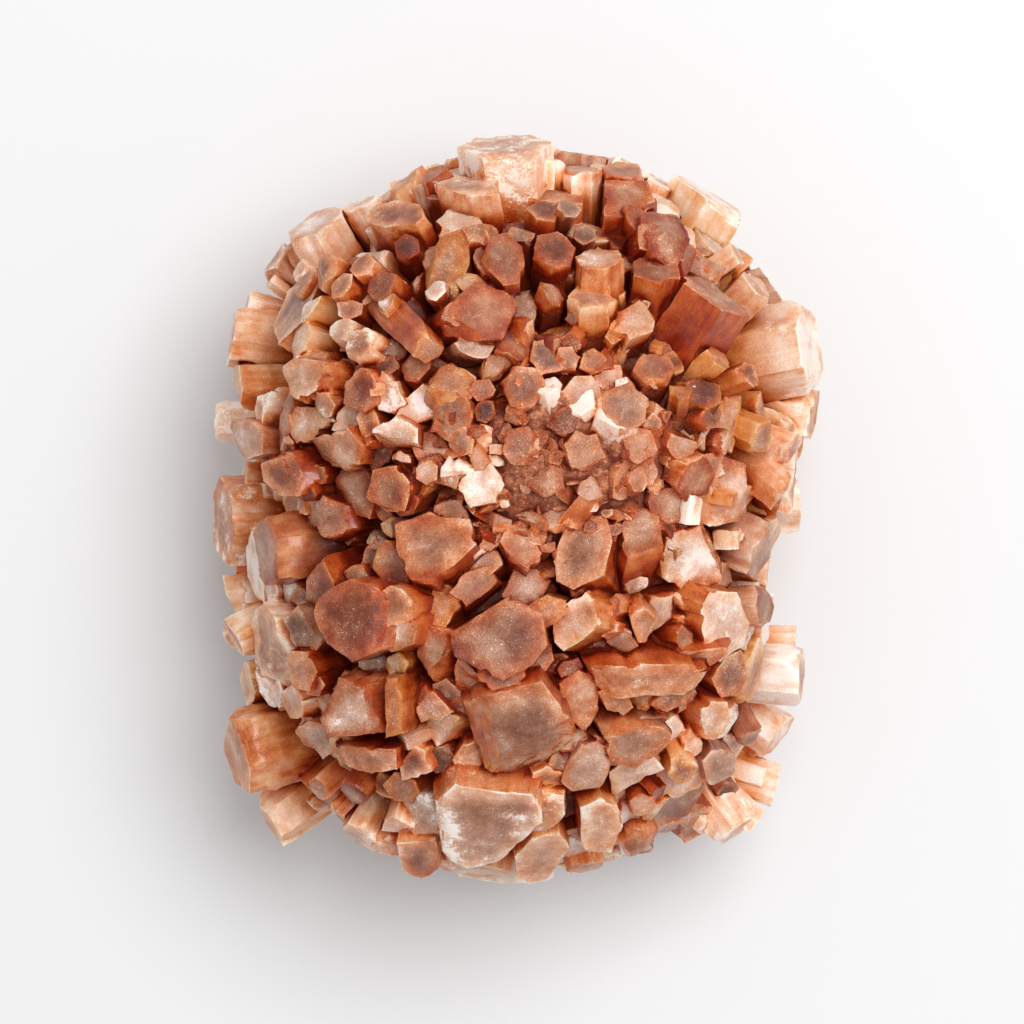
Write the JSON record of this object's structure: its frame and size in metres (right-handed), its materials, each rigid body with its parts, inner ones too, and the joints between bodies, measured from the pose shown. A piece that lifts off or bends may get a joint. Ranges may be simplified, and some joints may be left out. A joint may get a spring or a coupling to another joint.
{
  "type": "aragonite sputnik cluster",
  "caption": "Ball of stubby six-sided mineral prisms radiating from two hearts, grown together in one lump, with a small flat spot underneath to rest on.",
  "frame": {"origin": "under the middle of the bounding box, at the height of the flat spot that it lies on", "axes": "+Z up, away from the flat spot; +Y from the lower heart to the upper one, the cluster's longest way; +X to the right when it is seen from above with +Y up"},
  "size_m": [0.0626, 0.0758, 0.0507],
  "materials": {
    "aragonite": "dull to waxy red-brown crystal, paler and clearer towards the tips"
  },
  "bodies": {
    "root": {"aragonite_cluster": "aragonite"}
  },
  "joints": []
}
